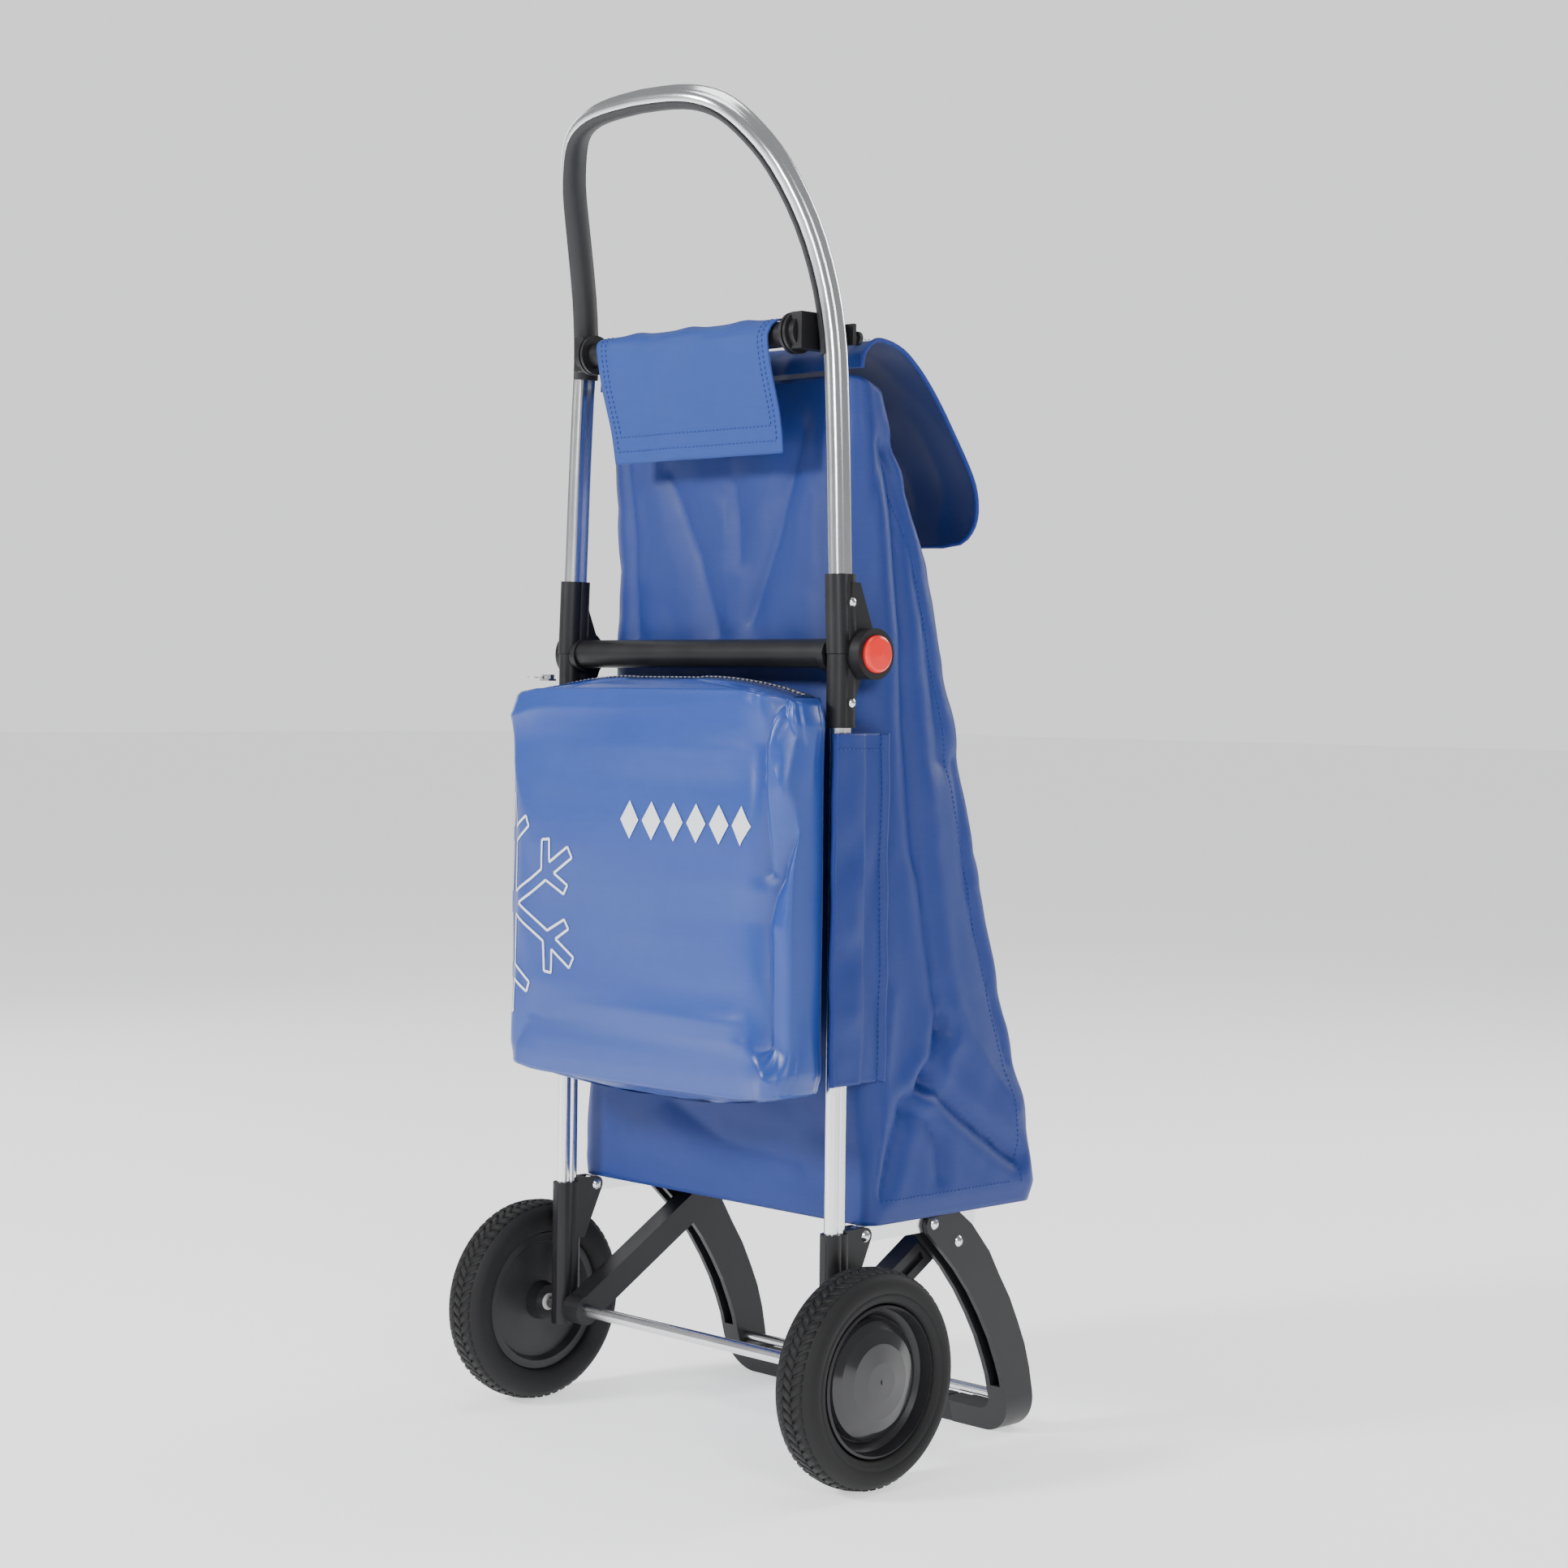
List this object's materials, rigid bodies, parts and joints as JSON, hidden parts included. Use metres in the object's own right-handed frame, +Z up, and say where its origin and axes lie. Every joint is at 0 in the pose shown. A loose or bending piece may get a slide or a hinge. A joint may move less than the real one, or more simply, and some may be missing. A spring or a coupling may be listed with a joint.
{
  "type": "folding shopping trolley",
  "caption": "Two-wheeled folding shopping trolley: bent tube handle, front bag with lid flap, cool bag at the back and a hinged stand with a carrying platform.",
  "frame": {"origin": "on the floor, at the middle of the trolley's outline seen from above", "axes": "+X across, from the left wheel to the right wheel; +Y from the handle side to the front of the bag; +Z up"},
  "size_m": [0.425, 0.3116, 1.0607],
  "materials": {
    "tube_metal": "polished extrusion",
    "steel": "bright zinc plated",
    "rivet_steel": "domed and bright",
    "black_plastic": "satin moulded",
    "grip_plastic": "satin moulded",
    "leg_plastic": "satin moulded",
    "tyre_rubber": "matt",
    "rim_plastic": "satin moulded",
    "hub_plastic": "glossy",
    "bush_plastic": "natural nylon",
    "red_plastic": "glossy",
    "bag_cloth": "woven polyester with a matt satin face",
    "glossy_nylon": "coated nylon with a gloss",
    "base_board": "lined board",
    "zip_metal": "nickel plated"
  },
  "bodies": {
    "frame": {"upright_left": "tube_metal", "upright_right": "tube_metal", "bracket_left": "black_plastic", "bracket_right": "black_plastic", "axle": "steel", "axle_push_nuts": "steel", "hinge_lower_left": "black_plastic", "hinge_lower_right": "black_plastic", "hinge_crossbar": "black_plastic", "hinge_bushes": "steel", "lower_rivets": "rivet_steel", "platform_rivets": "rivet_steel", "thermo_bag": "glossy_nylon", "side_sleeve_left": "bag_cloth", "side_sleeve_right": "bag_cloth", "bag_lower": "bag_cloth"},
    "handle": {"handle_tube": "tube_metal", "handle_grip": "grip_plastic", "hinge_upper_left": "black_plastic", "hinge_upper_right": "black_plastic", "upper_rivets": "rivet_steel", "bag_bar": "black_plastic", "bar_collar_left": "black_plastic", "bar_collar_right": "black_plastic", "bag_hooks": "black_plastic", "rear_flap": "bag_cloth", "bag_upper": "bag_cloth", "button_spring_left": "steel", "button_spring_right": "steel"},
    "platform": {"platform_frame": "tube_metal", "bag_base": "base_board"},
    "legs": {"leg_left": "leg_plastic", "leg_right": "leg_plastic", "foot_bar": "leg_plastic", "stand_rod": "steel", "stand_rivets": "rivet_steel"},
    "struts": {"strut_left": "leg_plastic", "strut_right": "leg_plastic"},
    "lid": {"bag_flap": "bag_cloth"},
    "zip_pull": {"zip_slider": "zip_metal"},
    "zip_ring": {"zip_ring": "zip_metal"},
    "wheel_left": {"tyre_left": "tyre_rubber", "rim_left": "rim_plastic", "hub_cap_left": "hub_plastic", "wheel_bush_left": "bush_plastic"},
    "button_left": {"button_left": "red_plastic", "lock_pin_left": "steel"},
    "wheel_right": {"tyre_right": "tyre_rubber", "rim_right": "rim_plastic", "hub_cap_right": "hub_plastic", "wheel_bush_right": "bush_plastic"},
    "button_right": {"button_right": "red_plastic", "lock_pin_right": "steel"}
  },
  "joints": [
    {"name": "handle_fold", "type": "hinge", "parent": "frame", "child": "handle", "pos_m": [0, -0.05325, 0.623], "axis": [-1, 0, 0], "range_deg": [0, 165], "deforming": ["bag_lower", "bag_upper", "bag_flap"]},
    {"name": "stand_fold", "type": "hinge", "parent": "frame", "child": "platform", "pos_m": [0, -0.04425, 0.181], "axis": [1, 0, 0], "range_deg": [0, 90]},
    {"name": "leg_fold", "type": "hinge", "parent": "platform", "child": "legs", "pos_m": [0, 0.03305, 0.181], "axis": [1, 0, 0], "range_deg": [-112.5, 0]},
    {"name": "strut_swing", "type": "hinge", "parent": "frame", "child": "struts", "pos_m": [0, -0.07325, 0.0825], "axis": [1, 0, 0], "range_deg": [0, 41]},
    {"name": "lid_open", "type": "hinge", "parent": "handle", "child": "lid", "pos_m": [0, -0.04425, 0.857], "axis": [1, 0, 0], "range_deg": [0, 100]},
    {"name": "zip_slide", "type": "slide", "parent": "frame", "child": "zip_pull", "axis": [1, 0, 0], "range_m": [0, 0.29]},
    {"name": "zip_ring_swing", "type": "hinge", "parent": "zip_pull", "child": "zip_ring", "pos_m": [-0.152, -0.10325, 0.6032], "axis": [0, 1, 0], "range_deg": [0, 90]},
    {"name": "wheel_spin_left", "type": "hinge", "parent": "frame", "child": "wheel_left", "pos_m": [-0.1925, -0.07325, 0.0825], "axis": [1, 0, 0], "continuous": true},
    {"name": "button_press_left", "type": "slide", "parent": "handle", "child": "button_left", "axis": [1, 0, 0], "range_m": [0, 0.004], "stiffness_N_per_m": 800, "deforming": ["button_spring_left"]},
    {"name": "wheel_spin_right", "type": "hinge", "parent": "frame", "child": "wheel_right", "pos_m": [0.1925, -0.07325, 0.0825], "axis": [1, 0, 0], "continuous": true},
    {"name": "button_press_right", "type": "slide", "parent": "handle", "child": "button_right", "axis": [-1, 0, 0], "range_m": [0, 0.004], "stiffness_N_per_m": 800, "deforming": ["button_spring_right"]}
  ],
  "couplings": [
    {"joint": "leg_fold", "follows": "stand_fold", "ratio": -1.2444},
    {"joint": "strut_swing", "follows": "stand_fold", "ratio": 0.4511}
  ]
}
